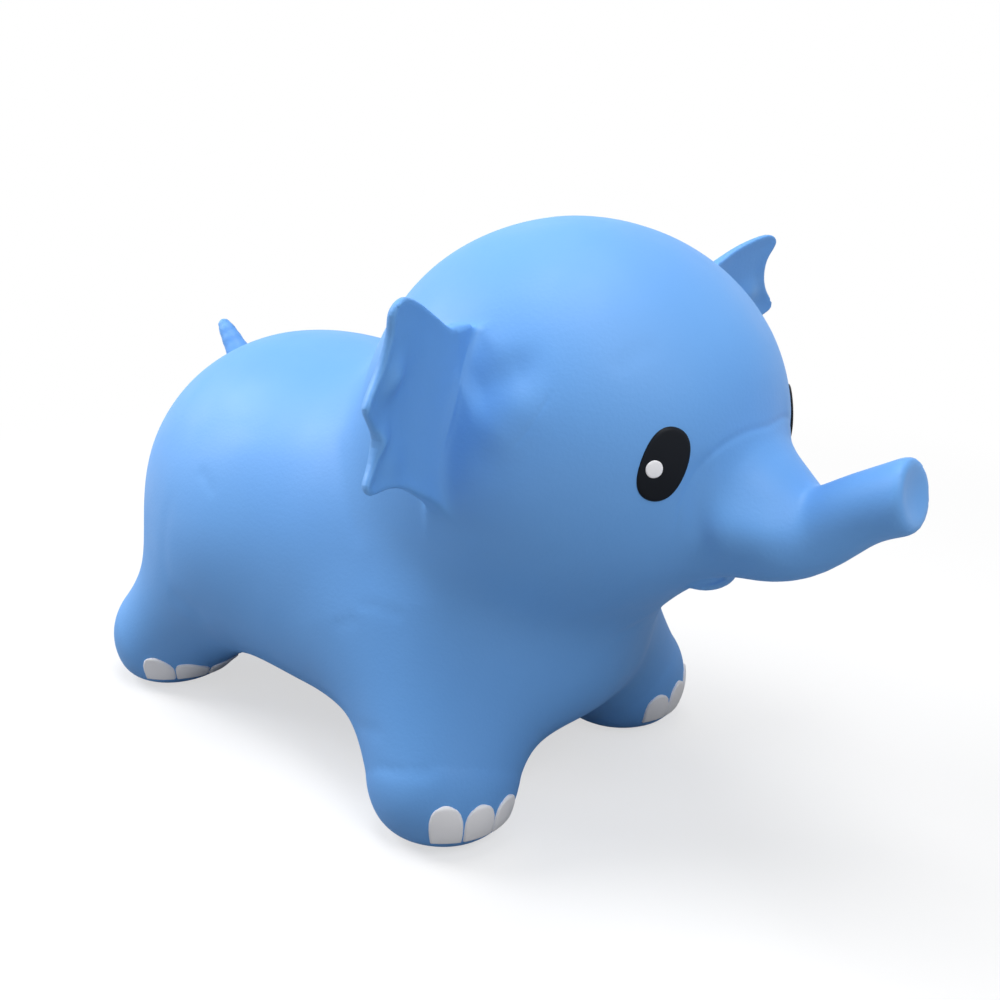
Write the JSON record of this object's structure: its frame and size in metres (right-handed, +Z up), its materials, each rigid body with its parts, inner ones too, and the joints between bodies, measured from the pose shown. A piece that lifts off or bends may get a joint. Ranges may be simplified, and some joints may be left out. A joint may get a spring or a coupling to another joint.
{
  "type": "bouncy ride on animal",
  "caption": "Inflatable vinyl elephant that a small child sits astride and bounces on, with bendable ears, trunk and tail, springy feet and an air valve.",
  "frame": {"origin": "on the floor, below the middle of the object's box", "axes": "+X forward, the way the elephant faces; +Y to its left; +Z up"},
  "size_m": [0.6557, 0.431, 0.4015],
  "materials": {
    "blue_vinyl": "satin",
    "black_paint": "gloss",
    "off_white_paint": "satin",
    "white_soft_vinyl": "satin"
  },
  "bodies": {
    "body": {"torso_skin": "blue_vinyl", "head_skin": "blue_vinyl", "trunk_root": "blue_vinyl", "ear_root_left": "blue_vinyl", "ear_root_right": "blue_vinyl", "tail_root": "blue_vinyl", "leg_front_left": "blue_vinyl", "leg_front_right": "blue_vinyl", "leg_hind_left": "blue_vinyl", "leg_hind_right": "blue_vinyl", "lower_lip": "blue_vinyl", "eye_left": "black_paint", "eye_right": "black_paint", "eye_highlight_left": "off_white_paint", "eye_highlight_right": "off_white_paint", "valve_seat": "white_soft_vinyl"},
    "trunk": {"trunk_tube": "blue_vinyl"},
    "ear_left": {"ear_left": "blue_vinyl"},
    "ear_right": {"ear_right": "blue_vinyl"},
    "tail": {"tail": "blue_vinyl"},
    "foot_front_left": {"foot_front_left": "blue_vinyl", "toenail_front_left_1": "off_white_paint", "toenail_front_left_2": "off_white_paint", "toenail_front_left_3": "off_white_paint"},
    "foot_front_right": {"foot_front_right": "blue_vinyl", "toenail_front_right_1": "off_white_paint", "toenail_front_right_2": "off_white_paint", "toenail_front_right_3": "off_white_paint"},
    "foot_hind_left": {"foot_hind_left": "blue_vinyl", "toenail_hind_left_1": "off_white_paint", "toenail_hind_left_2": "off_white_paint", "toenail_hind_left_3": "off_white_paint"},
    "foot_hind_right": {"foot_hind_right": "blue_vinyl", "toenail_hind_right_1": "off_white_paint", "toenail_hind_right_2": "off_white_paint", "toenail_hind_right_3": "off_white_paint"},
    "plug": {"valve_plug": "white_soft_vinyl"}
  },
  "joints": [
    {"name": "foot_front_left_squash", "type": "slide", "parent": "body", "child": "foot_front_left", "axis": [0, 0, 1], "range_m": [0, 0.02], "stiffness_N_per_m": 3000, "springref_m": -0.004, "deforming": ["leg_front_left"]},
    {"name": "foot_front_right_squash", "type": "slide", "parent": "body", "child": "foot_front_right", "axis": [0, 0, 1], "range_m": [0, 0.02], "stiffness_N_per_m": 3000, "springref_m": -0.004, "deforming": ["leg_front_right"]},
    {"name": "foot_hind_left_squash", "type": "slide", "parent": "body", "child": "foot_hind_left", "axis": [0, 0, 1], "range_m": [0, 0.02], "stiffness_N_per_m": 3000, "springref_m": -0.004, "deforming": ["leg_hind_left"]},
    {"name": "foot_hind_right_squash", "type": "slide", "parent": "body", "child": "foot_hind_right", "axis": [0, 0, 1], "range_m": [0, 0.02], "stiffness_N_per_m": 3000, "springref_m": -0.004, "deforming": ["leg_hind_right"]},
    {"name": "trunk_bend", "type": "hinge", "parent": "body", "child": "trunk", "pos_m": [0.2314, 0, 0.239], "axis": [0, -1, 0], "range_deg": [-15, 15], "stiffness_Nm_per_rad": 3, "springref_deg": 0.46, "deforming": ["trunk_root"]},
    {"name": "ear_left_fold", "type": "hinge", "parent": "body", "child": "ear_left", "pos_m": [0.10027, 0.13666, 0.30175], "axis": [-0.0469, -0.246, 0.9681], "range_deg": [-20, 20], "stiffness_Nm_per_rad": 1.5, "deforming": ["ear_root_left"]},
    {"name": "ear_right_fold", "type": "hinge", "parent": "body", "child": "ear_right", "pos_m": [0.10027, -0.13666, 0.30175], "axis": [0.0469, -0.246, -0.9681], "range_deg": [-20, 20], "stiffness_Nm_per_rad": 1.5, "deforming": ["ear_root_right"]},
    {"name": "tail_bend", "type": "hinge", "parent": "body", "child": "tail", "pos_m": [-0.2652, 0, 0.26438], "axis": [0, 1, 0], "range_deg": [-20, 20], "stiffness_Nm_per_rad": 0.3, "deforming": ["tail_root"]},
    {"name": "plug_pull", "type": "slide", "parent": "body", "child": "plug", "axis": [-1, 0, 0], "range_m": [0, 0.03]}
  ]
}
